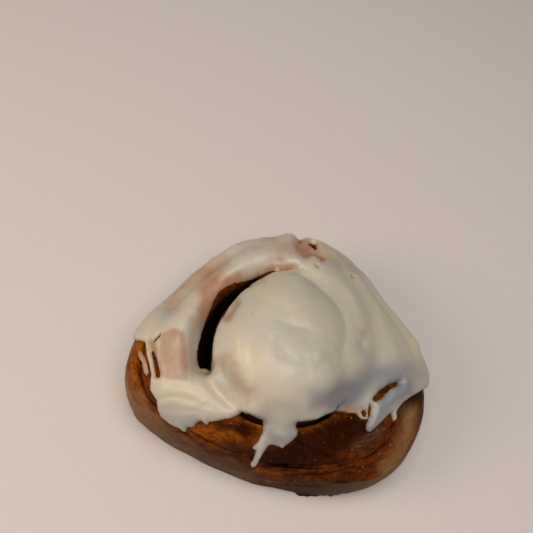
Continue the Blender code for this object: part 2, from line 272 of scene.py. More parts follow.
# Folds of the icing: half width in pixels, height in millimetres, the pixels that each runs through.
ICING_FOLDS = (
    (4.0, 0.9, ((378, 268), (390, 290), (402, 316), (414, 346))),
    (5.0, 0.7, ((140, 318), (158, 290), (184, 264), (216, 246), (250, 234))),
    (4.0, 0.5, ((154, 326), (168, 300), (190, 276), (212, 260))),
    (3.0, 0.1, ((198, 374), (203, 388), (213, 400), (228, 410))),
    (6.0, -0.9, ((206, 370), (210, 380), (218, 391), (229, 401), (239, 408))),
    (1.6, 0.4, ((187, 342), (188, 362), (190, 382))),
    (2.6, 0.28, ((158, 394), (172, 391), (190, 393), (206, 402))),
    (2.4, 0.25, ((160, 404), (176, 403), (196, 407), (212, 412))),
    (2.4, 0.22, ((164, 414), (180, 417), (196, 414))),
    (1.4, 0.2, ((162, 388), (182, 386), (204, 389))),
    (1.4, 0.2, ((166, 399), (186, 399), (204, 404))),
    (2.2, -0.3, ((160, 399), (176, 397), (196, 401))),
    (2.2, -0.25, ((166, 410), (184, 410), (200, 411))),
    (5.0, -0.9, ((300, 241), (304, 246), (310, 251))),
    (2.0, -0.6, ((316, 252), (325, 260))),
    (1.3, -0.6, ((280, 271), (289, 268), (297, 267))),
    (5.0, 0.5, ((270, 425), (276, 434), (288, 438))),
)
# Two long furrows of the crust, which also carry painted shade.
UPPER_FURROW = (
    (183, 431), (197, 443), (210, 451), (234, 457), (251, 467), (283, 466), (317, 467), (346, 461),
)
LOWER_FURROW = ((263, 470), (289, 476), (324, 475), (360, 467), (383, 460))
# Thin ridges and grooves of the crust, given as the icing's folds are.
CRUST_LINES = (
    (1.6, -0.6, UPPER_FURROW),
    (1.2, -0.6, LOWER_FURROW),
    (1.6, 0.35, ((262, 466), (289, 471), (324, 470), (356, 462))),
    (1.2, -0.3, ((250, 478), (280, 484), (320, 485), (350, 479))),
    (1.4, 0.25, ((146, 420), (175, 442), (210, 460), (245, 473))),
    (1.0, -0.25, ((142, 424), (172, 447), (208, 465), (240, 477))),
)
# Brush strokes on the crust: half width, strength, the pixels that each runs through.
# Golden crust, and painted highlights on the lit crests just under the openings beside the knob.
GOLDEN_AND_HIGHLIT_CRUST = (
    (8, 1.0, ((141, 348), (135, 366), (133, 388), (139, 404), (150, 418))),
    (8, 0.9, ((190, 432), (212, 431), (235, 435), (252, 442))),
    (4, 1.0, ((240, 419), (252, 422), (262, 426))),
    (4, 0.55, ((302, 426), (318, 424), (334, 418), (346, 416))),
    (3, 0.8, ((252, 468), (280, 475), (308, 478))),
    (3, 0.6, ((268, 481), (300, 485), (334, 481))),
)
# Dark, caramelised crust, and painted shade: along the furrows and on the front slope under the knob's
# icing.
DARK_AND_SHADED_CRUST = (
    (6, 0.8, ((220, 427), (234, 425), (246, 430))),
    (6, 0.8, ((232, 446), (246, 452), (258, 458))),
    (11, 1.1, ((276, 455), (296, 450), (320, 442), (348, 429))),
    (6, 0.8, ((272, 463), (300, 462), (330, 456))),
    (7, 0.7, ((246, 428), (250, 440), (262, 456))),
    (6, 0.9, ((350, 420), (362, 428), (372, 438))),
    (8, 1.0, ((400, 405), (412, 399), (426, 392))),
    (7, 0.9, ((300, 440), (318, 436), (336, 428))),
    (9, 1.0, ((318, 453), (346, 442), (362, 434))),
    (3, 0.9, ((298, 490), (322, 494), (352, 490), (370, 484))),
    (9, 0.75, ((290, 482), (320, 486), (350, 482))),
    (1.6, 0.9, UPPER_FURROW),
    (1.4, 0.7, LOWER_FURROW),
)
GREY_CRUST = (
    (10, 1.0, ((131, 400), (148, 424), (180, 446), (215, 464), (246, 478))),
    (5, 0.7, ((356, 446), (368, 438), (380, 430))),
)
PALE_CRUST = (
    (8, 0.65, ((410, 412), (408, 434), (399, 454), (386, 470))),
    (5, 0.40, ((139, 394), (149, 412), (166, 430))),
)
# The unlit inside of the opening beside the knob.
GAP_SHADE = (
    (6.5, 2.0, ((234, 297), (222, 308), (214, 320), (208, 334), (203, 348), (203, 362))),
    (4.0, 1.5, ((256, 281), (244, 289), (234, 297))),
)
# Where flakes of the crust stick out at the foot, up to which height, and how far.
TORN_FOOT = (
    (5, 1.0, ((302, 493), (320, 496), (334, 494))),
    (4, 1.0, ((344, 491), (357, 489))),
    (4, 1.0, ((370, 484),)),
)
TORN_HEIGHT = 3.0
TORN_REACH = 3.4
# The soft ring in the icing on the knob: the pixel of its middle, and its radius in millimetres.
RING_MIDDLE = (294, 345)
RING_RADIUS = 9.6

# Colours, as linear red, green and blue.
CRUST_LIGHT = (0.17, 0.036, 0.0016)
CRUST_DARK = (0.035, 0.0045, 0.0007)
WALL_DARK = (0.022, 0.005, 0.0006)
WALL_LIGHT = (0.10, 0.030, 0.003)
# Golden crust, also used for painted highlights.
GOLDEN = (0.34, 0.092, 0.0025)
# Burnt crust, and painted shade.
BURNT_AND_SHADE = (0.011, 0.0009, 0.0004)
GREY_DARK = (0.05, 0.021, 0.009)
GREY_LIGHT = (0.22, 0.115, 0.060)
CRUMB_DARK = (0.23, 0.115, 0.034)
CRUMB_LIGHT = (0.50, 0.31, 0.130)
PORE = (0.035, 0.008, 0.002)
SUGAR = (0.45, 0.30, 0.18)
UNLIT = (0.003, 0.001, 0.0005)
PASTE_DARK = (0.03, 0.007, 0.003)
PASTE_LIGHT = (0.13, 0.035, 0.012)
CREAM = (0.51, 0.460, 0.350)
PALE_CREAM = (0.48, 0.440, 0.368)
# Yellower thick icing, and painted highlights.
RICH_AND_HIGHLIGHT_CREAM = (0.60, 0.54, 0.35)
# Grey-blue painted shade on the icing.
ICING_SHADE_COLOUR = (0.22, 0.227, 0.25)
# Pinkish brown of thin icing over the crust, also used for painted shade.
THIN_AND_SHADED_CREAM = (0.36, 0.175, 0.088)
SPECK = (0.30, 0.17, 0.09)


def unit(vector):
    return vector / np.linalg.norm(vector)


def view_axes():
    """The view's right, up and forward directions."""
    forward = unit(FORWARD)
    right = unit(np.cross(forward, UP))
    return right, np.cross(right, forward), forward


def in_photo(points):
    """The pixels at which the photograph's view shows points given in millimetres."""
    right, up, forward = view_axes()
    away = points - EYE
    scale = FOCAL_PIXELS / (away @ forward)
    middle = FRAME_PIXELS / 2
    return np.stack((middle + scale * (away @ right), middle - scale * (away @ up)), axis=-1)


def line_distance(pixels, line):
    """How far pixels are from a line through several pixels, or from a single one."""
    line = np.array(line, float)
    if len(line) == 1:
        return np.linalg.norm(pixels - line[0], axis=-1)
    nearest = np.inf
    for a, b in zip(line[:-1], line[1:]):
        along = b - a
        share = np.clip((pixels - a) @ along / (along @ along), 0, 1)
        nearest = np.minimum(nearest, np.linalg.norm(pixels - a - share[..., None] * along, axis=-1))
    return nearest


def outline_distance(pixels, outline):
    """How far pixels are inside a closed outline, and below 0 outside it."""
    outline = np.array(outline, float)
    inside = np.zeros(pixels.shape[:-1], bool)
    for a, b in zip(outline, np.roll(outline, -1, axis=0)):
        between = (a[1] > pixels[..., 1]) != (b[1] > pixels[..., 1])
        rise = b[1] - a[1] or 1.0
        inside ^= between & (pixels[..., 0] < a[0] + (pixels[..., 1] - a[1]) * (b[0] - a[0]) / rise)
    distance = line_distance(pixels, (*outline, outline[0]))
    return np.where(inside, distance, -distance)


def strokes(pixels, rows):
    """Soft strokes, each (half width, strength or height, pixels that it runs through), added up."""
    total = 0.0
    for half_width, strength, line in rows:
        total = total + strength * np.exp(-((line_distance(pixels, line) / half_width) ** 2))
    return total


def painted(pixels, rows):
    return np.clip(strokes(pixels, rows), 0, 1)


def curve(rows, at, column=1):
    """A smooth curve through rows of (place, value, ...), read at an array of places."""
    places = np.array([row[0] for row in rows], float)
    values = np.array([row[column] for row in rows], float)
    spans = np.diff(places)
    slopes = np.diff(values) / spans
    before = np.concatenate((slopes[:1], slopes))
    after = np.concatenate((slopes, slopes[-1:]))
    product = before * after
    total = np.where(product > 0, before + after, 1.0)
    tangents = np.where(product > 0, 2 * product / total, 0.0)
    at = np.clip(np.asarray(at, float), places[0], places[-1])
    i = np.clip(np.searchsorted(places, at, side="right") - 1, 0, len(spans) - 1)
    s = (at - places[i]) / spans[i]
    return (
        values[i] * (1 + 2 * s) * (1 - s) ** 2
        + values[i + 1] * s * s * (3 - 2 * s)
        + tangents[i] * spans[i] * s * (1 - s) ** 2
        + tangents[i + 1] * spans[i] * s * s * (s - 1)
    )


def step(low, high, x):
    """0 up to low, 1 from high on, smooth between."""
    s = np.clip((np.asarray(x, float) - low) / (high - low), 0, 1)
    return s * s * (3 - 2 * s)


def hill(middle, half_width, x):
    """1 at the middle, smoothly down to 0 at half_width to either side."""
    return 1 - step(0, half_width, np.abs(np.asarray(x, float) - middle))


def turns_between(a, b):
    """How far apart two places round the roll are, where 0 and 1 are one place."""
    return np.abs((a - b + 0.5) % 1 - 0.5)


def rough(points, size, seed):
    """Smooth noise from -1 to 1 at an array of points, with features about this size."""
    side = 32
    table = np.random.default_rng(seed).uniform(-1, 1, (side, side, side))
    scaled = points / np.asarray(size, float)
    cell = np.floor(scaled).astype(int)
    share = scaled - cell
    share = share * share * (3 - 2 * share)
    total = 0.0
    for corner in np.ndindex(2, 2, 2):
        weight = np.prod(np.where(corner, share, 1 - share), axis=-1)
        total = total + weight * table[tuple(((cell + corner) % side)[..., k] for k in range(3))]
    return total


def layered(points, size, seed):
    """Noise with finer layers on it, each half the size and half as strong."""
    size = np.asarray(size, float)
    return sum(rough(points, size / 2**k, seed + k) / 2**k for k in range(NOISE_LAYERS)) / NOISE_REACH


def plan_radius(turn):
    return curve(PLAN, np.asarray(turn) % 1)


def seam_radius(turn):
    knob = curve(KNOB_SEAM, turn)
    wrap = curve(WRAP_SEAM, turn) * plan_radius(turn)
    share = step(KNOB_END_TURN - 0.1, WRAP_START_TURN, turn)
    return knob * (1 - share) + wrap * share


def opening(turn):
    return curve(OPENING, turn)


def on_coil(radius, turn, height):
    """Points in millimetres, in the row frame."""
    angle = TURN * turn
    x = COIL_MIDDLE[0] + radius * np.cos(angle)
    y = COIL_MIDDLE[1] + radius * np.sin(angle)
    return np.stack((x, y, np.broadcast_to(height, x.shape)), axis=-1)


def ring_turns(first, last):
    turns = [first]
    for until, each in RINGS:
        end = min(until, last)
        if end > turns[-1]:
            count = max(1, round((end - turns[-1]) * each))
            turns.extend(np.linspace(turns[-1], end, count + 1)[1:])
    return np.array(turns)


def new_piece(name, points, faces, attributes, material):
    """A smooth mesh piece from points in millimetres, with float attributes on its points."""
    mesh = bpy.data.meshes.new(name)
    mesh.from_pydata((points * MM).tolist(), [], faces)
    mesh.validate()
    mesh.shade_smooth()
    for label, values in attributes.items():
        layer = mesh.attributes.new(label, "FLOAT", "POINT")
        layer.data.foreach_set("value", np.asarray(values, np.float32))
    mesh.materials.append(material)
    piece = bpy.data.objects.new(name, mesh)
    bpy.context.scene.collection.objects.link(piece)
    return piece


def strip_faces(rings, around):
    """The faces of a closed strip: rings of points joined in turn, and a cap on each end."""
    faces = []
    for i in range(rings - 1):
        low, high = i * around, (i + 1) * around
        for j in range(around):
            k = (j + 1) % around
            faces.append((low + j, low + k, high + k, high + j))
    faces.append(tuple(reversed(range(around))))
    faces.append(tuple(range((rings - 1) * around, rings * around)))
    return faces


def seam_width(turn):
    """The seams between the inner turns are open, and those nearer the outside are only thin lines."""
    return SEAM_WIDTH + (THIN_SEAM_WIDTH - SEAM_WIDTH) * step(*SEAM_CLOSES, turn)


def dough_sections(turn):
    """Radii and heights of every point of the strip's sections, what part of the section each is on, and
    how deep down a seam it lies."""
    t = turn[:, None]
    inner = np.maximum(seam_radius(t - 1) + seam_width(t - 1) / 2, EYE_RADIUS)
    outer = seam_radius(t) - seam_width(t) / 2
    outside = step(OUTSIDE_TURN, OUTSIDE_TURN + 0.1, t)
    covered = t < OUTSIDE_TURN
    foot = np.minimum(FOOT_RADIUS + (OUTSIDE_FOOT - FOOT_RADIUS) * outside, (outer - inner) / 2)
    gap = opening(t)
    inner_height, outer_height, crown = (curve(TOP_EDGE, t, column) for column in (1, 2, 3))
    crown = crown * (1 - TAIL_SHARE * step(*TAIL_LOWERS, t) * (1 - step(*TAIL_RISES, t)))
    roundness = CROWN_ROUNDNESS - ARCHED_BY * step(*CROWN_ARCHES, t)

    share = np.linspace(0, 1, BOTTOM_POINTS, endpoint=False)
    radii = [inner + (outer - foot - inner) * share]
    heights = [0 * inner + 0 * share]
    depths = [0 * inner + 0 * share]

    bend = np.linspace(0, math.pi / 2, FOOT_POINTS, endpoint=False)
    radii.append(outer - foot + foot * np.sin(bend))
    heights.append(foot * (1 - np.cos(bend)))
    depths.append((outer_height - heights[-1]) * covered)

    share = np.linspace(0, 1, WALL_POINTS, endpoint=False)
    belly = OUTSIDE_BELLY * outside * np.sin(math.pi * share) ** 0.7
    radii.append(outer + belly)
    heights.append(foot + (outer_height - foot) * share)
    depths.append((outer_height - heights[-1]) * covered)

    share = 0.5 - 0.5 * np.cos(np.linspace(0, math.pi, CROWN_STEPS))
    rise = crown * (1 - np.abs(2 * share - 1) ** roundness)
    radii.append(outer + (inner + gap - outer) * share)
    heights.append(outer_height + (inner_height - outer_height) * share + rise)
    depths.append(0 * rise)

    share = np.linspace(0, 1, INNER_POINTS + 1)[1:]
    radii.append(inner + gap * (1 - share) ** 2)
    heights.append(inner_height * (1 - share) + 0 * gap)
    depths.append(inner_height - heights[-1])
    counts = (BOTTOM_POINTS, FOOT_POINTS, WALL_POINTS, CROWN_STEPS, INNER_POINTS)
    part = np.repeat((BOTTOM, FOOT, WALL, CROWN, INNER), counts)
    radius, height, depth = (np.concatenate(rows, axis=1) for rows in (radii, heights, depths))
    return radius, height, np.broadcast_to(part, radius.shape), depth


def make_dough(material):
    turn = ring_turns(FIRST_TURN, LAST_TURN)
    radius, height, part, depth = dough_sections(turn)
    t = np.broadcast_to(turn[:, None], radius.shape)
    points = on_coil(radius, t, height)
    wall = np.where(part == WALL, 1.0, np.where(part == FOOT, 0.9, 0.0))
    wall = wall * step(OUTSIDE_TURN, OUTSIDE_TURN + 0.03, t)
    step_length = np.linalg.norm(np.diff(points, axis=1, prepend=points[:, :1]), axis=-1)
    up = np.cumsum(step_length, axis=1)
    along = t * TURN * STRIP_RADIUS
    flat = np.stack((along, up, 0 * up), axis=-1)
    pixels = in_photo(points)
    wobble = np.stack([layered(points, 5.0, seed) for seed in (51, 52)], axis=-1)
    marks = pixels + 2.5 * wobble
    knob_side = (t > 1.26) & (t < 1.95)
    wrap_side = (t > 2.28) & (t < 2.95) & (part == INNER)
    unlit = np.where(knob_side | wrap_side, 6.0, np.where(t > 2.3, 0.3, 1.0))

    relief = 0.40 * layered(points, 9.0, 11) + 0.12 * layered(points, 2.4, 12)
    relief = relief + (part == CROWN) * 0.28 * layered(flat, (9.0, 1.3, 1.0), 13)
    relief = relief + wall * 0.16 * layered(flat, (16.0, 0.9, 1.0), 14)
    relief = relief + strokes(pixels + 0.8 * wobble, CRUST_LINES) * (depth < 1)
    relief = relief * step(0.0, 2.5, height) * (1 - 0.6 * (part == INNER))
    flakes = painted(pixels, TORN_FOOT) * (wall > 0) * (1 - step(0.0, TORN_HEIGHT, height))
    relief = relief + TORN_REACH * flakes * np.maximum(0.3 + layered(points, (1.7, 1.7, 1.4), 19), 0)
    points = points + outward_normals(points) * relief[..., None]
    points[..., 2] = np.maximum(points[..., 2], 0)

    bake = 0.5 + 0.42 * layered(flat, (7.0, 2.0, 1.0), 15) + 0.25 * layered(points, 2.0, 16)
    pressed = wall * step(0.05, 0.25, turns_between(t, FRONT_TURN))
    shade = painted(pixels, GAP_SHADE) * (t < 2.66)
    faces = strip_faces(len(turn), radius.shape[1])
    attributes = {
        "along": along,
        "up": up,
        "wall": wall,
        "bake": np.clip(bake, 0, 1),
        "deep": np.maximum(step(0.8, 5.0, depth * unlit), shade),
        "golden": painted(marks, GOLDEN_AND_HIGHLIT_CRUST),
        "dark": painted(marks, DARK_AND_SHADED_CRUST),
        "grey": painted(marks, GREY_CRUST),
        "pale": np.maximum(painted(marks, PALE_CRUST), pressed),
    }
    attributes = {name: values.ravel() for name, values in attributes.items()}
    return new_piece("baked_dough", points.reshape(-1, 3), faces, attributes, material)


def outward_normals(points):
    """Normals of a grid of points that closes on itself along its second axis."""
    along = np.gradient(points, axis=0)
    around = np.roll(points, -1, axis=1) - np.roll(points, 1, axis=1)
    normal = np.cross(around, along)
    length = np.linalg.norm(normal, axis=-1, keepdims=True)
    return -normal / np.maximum(length, 1e-9)


def make_filling(material):
    turn = ring_turns(0.0, OUTSIDE_TURN)
    radius = seam_radius(turn)
    top = np.minimum(curve(TOP_EDGE, turn, 2), curve(TOP_EDGE, turn + 1, 1)) - 1.5
    along = np.stack((turn * 200, turn * 0, turn * 0), axis=-1)
    ragged = top + 0.6 * layered(along, 3.0, 21)
    half_width = 0.6
    foot = 0.8
    rows = []
    for side, level in ((-1, 0), (1, 0), (1, 0.5), (1, 1), (-1, 1), (-1, 0.5)):
        height = foot + (ragged - foot) * level
        rows.append(on_coil(radius + side * half_width, turn, height))
    points = np.stack(rows, axis=1)
    faces = strip_faces(len(turn), len(rows))
    return new_piece("cinnamon_seam", points.reshape(-1, 3), faces, {}, material)


def ray_grid():
    """The turns and slopes of the rays, and their directions."""
    turn = np.arange(COLUMNS) / COLUMNS
    slope = np.linspace(LAST_SLOPE / ROWS, LAST_SLOPE, ROWS)
    t, s = np.meshgrid(turn, slope, indexing="ij")
    steep = np.radians(s)
    x = np.sin(steep) * np.cos(TURN * t)
    y = np.sin(steep) * np.sin(TURN * t)
    direction = np.stack((x, y, np.cos(steep)), axis=-1)
    return t, s, direction


def reach_of(piece, direction):
    """How far the piece reaches along each ray, in millimetres."""
    tree = BVHTree.FromPolygons(
        [v.co[:] for v in piece.data.vertices], [tuple(p.vertices) for p in piece.data.polygons]
    )
    middle = Vector(RAYS_MIDDLE * MM)
    far = RAYS_TO * MM
    reach = np.full(direction.shape[:2], EMPTY_REACH)
    for i, j in np.ndindex(*direction.shape[:2]):
        d = Vector(direction[i, j])
        hit, _, _, distance = tree.ray_cast(middle + d * far, -d)
        if hit is not None:
            reach[i, j] = (far - distance) / MM
    return reach


def blurred(grid, columns, rows):
    """The grid blurred by this many columns, which go round, and rows, which end."""
    for axis, spread in ((0, columns), (1, rows)):
        ends = math.ceil(3 * spread)
        steps = np.arange(-ends, ends + 1)
        weights = np.exp(-0.5 * (steps / spread) ** 2)
        weights /= weights.sum()
        if axis == 0:
            grid = sum(w * np.roll(grid, k, axis=0) for w, k in zip(weights, steps))
        else:
            padded = np.pad(grid, ((0, 0), (ends, ends)), mode="edge")
            grid = sum(w * padded[:, ends + k : ends + k + grid.shape[1]] for w, k in zip(weights, steps))
    return grid


def widened(grid, columns, rows):
    """Each value raised to the largest within this many columns and rows."""
    largest = grid
    for k in range(-columns, columns + 1):
        largest = np.maximum(largest, np.roll(grid, k, axis=0))
    wide = largest
    for k in range(-rows, rows + 1):
        shifted = np.pad(largest, ((0, 0), (rows, rows)), mode="edge")
        wide = np.maximum(wide, shifted[:, rows + k : rows + k + grid.shape[1]])
    return wide


def across(slope):
    """How far from the middle a ray crosses the height of the knob's rim."""
    return (RIM_HEIGHT - RAYS_FROM) * np.tan(np.radians(slope))


def gap_slopes(turn):
    """The slope at which the rays reach the inner corner of the turn round the knob."""
    outer_turn = turn + KNOB_END_TURN
    corner = seam_radius(outer_turn - 1) + seam_width(outer_turn - 1) / 2 + opening(outer_turn)
    return np.degrees(np.arctan2(corner, curve(TOP_EDGE, outer_turn, 1) - RAYS_FROM))


def knob_dome(turn, slope):
    """How far a smooth knob reaches: its top falls away ever faster towards the rim."""
    steep = np.radians(slope)
    rim = curve(KNOB_RIM, turn)
    reach = np.full(slope.shape, KNOB_TOP - RAYS_FROM)
    for _ in range(30):
        radius = np.minimum(reach * np.sin(steep), rim)
        top = KNOB_TOP - KNOB_FALL * (radius / rim) ** KNOB_ROUNDNESS
        reach = 0.5 * reach + 0.5 * (top - RAYS_FROM) / np.cos(steep)
    return np.minimum(reach, rim / np.maximum(np.sin(steep), 0.01))


def gap_share(turn):
    """1 where the icing leaves the furrow round the knob open, 0 where it bridges it."""
    return 1 - curve(FILLED, turn)


def icing_base(raw, turn, slope):
    """The surface under the icing, and the slopes of its split beside the knob and of the knob's rim.

    The surface is the dough's, evened out, and bridged where icing fills its furrows."""
    outwards = across(slope)
    edge = gap_slopes(turn) + 0.4
    closed = -widened(-widened(raw, 5, 5), 5, 5)
    rim_slope = np.degrees(np.arctan2(curve(KNOB_RIM, turn), RIM_HEIGHT - 2 - RAYS_FROM))
    split = np.maximum(edge - 0.8 - 1.1 * (1 - step(0.64, 0.70, turn)), rim_slope)

    knob_wall = curve(KNOB_RIM, turn) / np.sin(np.radians(slope))
    dome = knob_dome(turn, slope)
    knob = blurred(np.where(slope < split, np.minimum(raw, knob_wall + 3), dome), 5.0, 2.0)
    knob = np.maximum(knob, dome)
    knob = np.minimum(knob, knob_wall + 3 * (1 - step(0.0, 0.5, gap_share(turn))))

    after_gap = np.minimum(np.searchsorted(slope[0], edge[:, 0]), ROWS - 1)
    shoulder = np.take_along_axis(raw, after_gap[:, None], axis=1)
    lip = shoulder - LIP_FALL * np.maximum(edge - slope, 0)
    evened = np.maximum(step(30, 34, outwards), 1 - step(0.31, 0.36, turn))
    wrap = blurred(np.where(slope > edge, raw * (1 - evened) + closed * evened, lip), 4.0, 1.4)
    apart = np.where(slope < split, knob, wrap)

    soft = blurred(widened(closed, 1, 1), 4.0, 2.4)
    filled = blurred(widened(raw, 6, 7), 10.0, 5.0)
    heavy = curve(FILLED, turn, 2) * hill(25, 11, outwards)
    bridged = soft + heavy * np.maximum(filled - soft, 0)
    front = step(0.45, 0.55, turn) * (1 - step(0.92, 0.99, turn))
    past_rim = step(20, 24, outwards)
    inner = step(11, 21, outwards) * (1 - front) + past_rim * front
    bridged = np.maximum(bridged, knob * (1 - past_rim))
    bridged = bridged * inner + knob * (1 - inner)

    share = blurred(1 - gap_share(turn), 4.0, 0.1)
    far = step(46, 54, outwards)
    base = (apart * (1 - share) + bridged * share) * (1 - far) + soft * far
    return base, split, rim_slope


def make_icing(dough, material):
    turn, slope, direction = ray_grid()
    raw = reach_of(dough, direction)
    base, split, rim_slope = icing_base(raw, turn, slope)
    points = RAYS_MIDDLE + direction * base[..., None]
    pixels = in_photo(points + direction * 1.4)
    wobble = np.stack([layered(points, 9.0, seed) for seed in (41, 42)], axis=-1)

    per_degree = np.radians(1) * base
    cover = points[..., 2] - curve(ICING_HEM, turn) + 2.0 * layered(points, 8.0, 31)
    front = np.maximum(outline_distance(pixels, ICING_OUTLINE), outline_distance(pixels, LEFT_SMEAR))
    front = front * MM_PER_PIXEL + 0.22 * layered(points, 1.9, 33)
    cover = np.minimum(cover, front)
    on_knob = slope < np.minimum(split, rim_slope + 0.3)
    for hole, lowest in ICING_HOLES:
        beside = 0.12 * layered(points, 2.5, 34) - outline_distance(pixels, hole) * MM_PER_PIXEL
        beside = np.maximum(beside, lowest - points[..., 2])
        above = np.maximum(beside, points[..., 2] - 30)
        cover = np.minimum(cover, np.where(on_knob, above, beside))
    from_split = np.abs(slope - split) * per_degree - curve(OPEN_LINE, turn)
    cover = np.where((gap_share(turn) > 0.65) & (from_split < 2), np.minimum(cover, from_split), cover)

    knob = 1 - step(21, 28, across(slope))
    depth = 2.5 * knob + curve(ICING_DEPTH, turn) * (1 - knob)
    # The icing is thinner under these strokes, which also carry painted shade.
    thin_and_shaded = painted(pixels + 4 * wobble, THIN_AND_SHADED_ICING)
    depth = depth * (1 - 0.72 * thin_and_shaded) * (1 + 0.10 * layered(points, 11.0, 32))
    distance = edge_distance(points, cover)
    share = np.clip(distance / (0.5 + 0.75 * depth), 0, 1)
    profile = np.sqrt(1 - (1 - share) ** 2)
    relief = strokes(pixels + wobble, ICING_FOLDS)
    ring = line_distance(pixels, (RING_MIDDLE,)) * MM_PER_PIXEL
    relief = relief + 0.20 * np.exp(-(((ring - RING_RADIUS) / 2.8) ** 2))
    relief = relief - 0.40 * (1 - step(2, RING_RADIUS + 4, ring))
    relief = relief + 0.16 * layered(points, 6.0, 35) + 0.05 * layered(points, 1.8, 36)
    thick = profile * (depth + relief * step(0.0, 3.0, distance))
    patch = 0.8 * step(-3.0, 3.0, outline_distance(pixels + 2 * wobble, THIN_PATCH))
    fields = {
        "thin_and_shaded": np.maximum(np.maximum(thin_and_shaded, patch), 1 - step(0.2, 1.3, thick)),
        "rich_and_highlit": painted(pixels + 5 * wobble, RICH_AND_HIGHLIT_ICING),
        "icing_shade": painted(pixels + 4 * wobble, SHADE_ON_ICING) * (1 - step(0.0, 0.06, turn) * (turn < 0.5)),
    }
    over = base + np.maximum(thick, 0.12)
    faces, places, fields = skin(cover, base - 0.25, over, direction, fields)
    return new_piece("soft_icing", places, faces, fields, material)


def edge_distance(points, cover):
    """How far each point is from where cover crosses 0."""
    places = []
    for axis in (0, 1):
        here, there = cover, np.roll(cover, -1, axis=axis)
        crosses = (here > 0) != (there > 0)
        if axis == 1:
            crosses[:, -1] = False
        share = (here / np.where(crosses, here - there, 1.0))[..., None]
        between = points * (1 - share) + np.roll(points, -1, axis=axis) * share
        places.append(between[crosses])
    places = np.concatenate(places)
    tree = KDTree(len(places))
    for index, place in enumerate(places):
        tree.insert(place, index)
    tree.balance()
    distance = np.zeros(cover.shape)
    for place in zip(*np.nonzero(cover > 0)):
        distance[place] = tree.find(points[place])[2]
    return distance


def skin(cover, under, over, direction, fields):
    """A closed skin wherever cover is above 0, from two sheets of reaches along the rays."""
    columns, rows = cover.shape
    inside = cover > 0
    sheets = [RAYS_MIDDLE + direction * reach[..., None] for reach in (under, over)]
    values = np.stack(list(fields.values()), axis=-1)
    node_index = np.full(cover.shape, -1)
    node_index[inside] = np.arange(inside.sum())
    lows, tops, extras = list(sheets[0][inside]), list(sheets[1][inside]), list(values[inside])
    crossings = {}

    def crossing(a, b):
        key = (min(a, b), max(a, b))
        if key not in crossings:
            share = cover[a] / (cover[a] - cover[b])
            crossings[key] = len(lows)
            low = sheets[0][a] * (1 - share) + sheets[0][b] * share
            outer = a if inside[a] else b
            lows.append(low)
            tops.append(low + (sheets[1][outer] - sheets[0][outer]) * 0.3)
            extras.append(values[outer])
        return crossings[key]

    polygons, rims = [], []
    for i in range(columns):
        i_next = (i + 1) % columns
        for j in range(rows - 1):
            corners = ((i, j), (i, j + 1), (i_next, j + 1), (i_next, j))
            states = [inside[c] for c in corners]
            if all(states):
                polygons.append([node_index[c] for c in corners])
                continue
            if not any(states):
                continue
            polygon, cuts = [], []
            for k in range(4):
                here, following = corners[k], corners[(k + 1) % 4]
                if states[k]:
                    polygon.append(node_index[here])
                if states[k] != states[(k + 1) % 4]:
                    cut = crossing(here, following)
                    polygon.append(cut)
                    cuts.append((cut, states[k]))
            polygons.append(polygon)
            for k in range(len(cuts)):
                if cuts[k][1]:
                    rims.append((cuts[k][0], cuts[(k + 1) % len(cuts)][0]))
    count = len(lows)
    pole = 2 * count
    lows, tops, extras = np.array(lows), np.array(tops), np.array(extras)
    first_ring = [node_index[i, 0] for i in range(columns)]
    ends = np.stack((lows[first_ring].mean(axis=0), tops[first_ring].mean(axis=0)))
    faces = [tuple(int(v) + count for v in p) for p in polygons]
    faces += [tuple(int(v) for v in reversed(p)) for p in polygons]
    faces += [(a, b, b + count, a + count) for a, b in rims]
    for i in range(columns):
        a, b = int(first_ring[i]), int(first_ring[(i + 1) % columns])
        faces.append((pole + 1, a + count, b + count))
        faces.append((pole, b, a))
    middle_values = extras[first_ring].mean(axis=0)
    extras = np.concatenate((extras, extras, (middle_values, middle_values)))
    kinds = {name: extras[:, k] for k, name in enumerate(fields)}
    return faces, np.concatenate((lows, tops, ends)), kinds


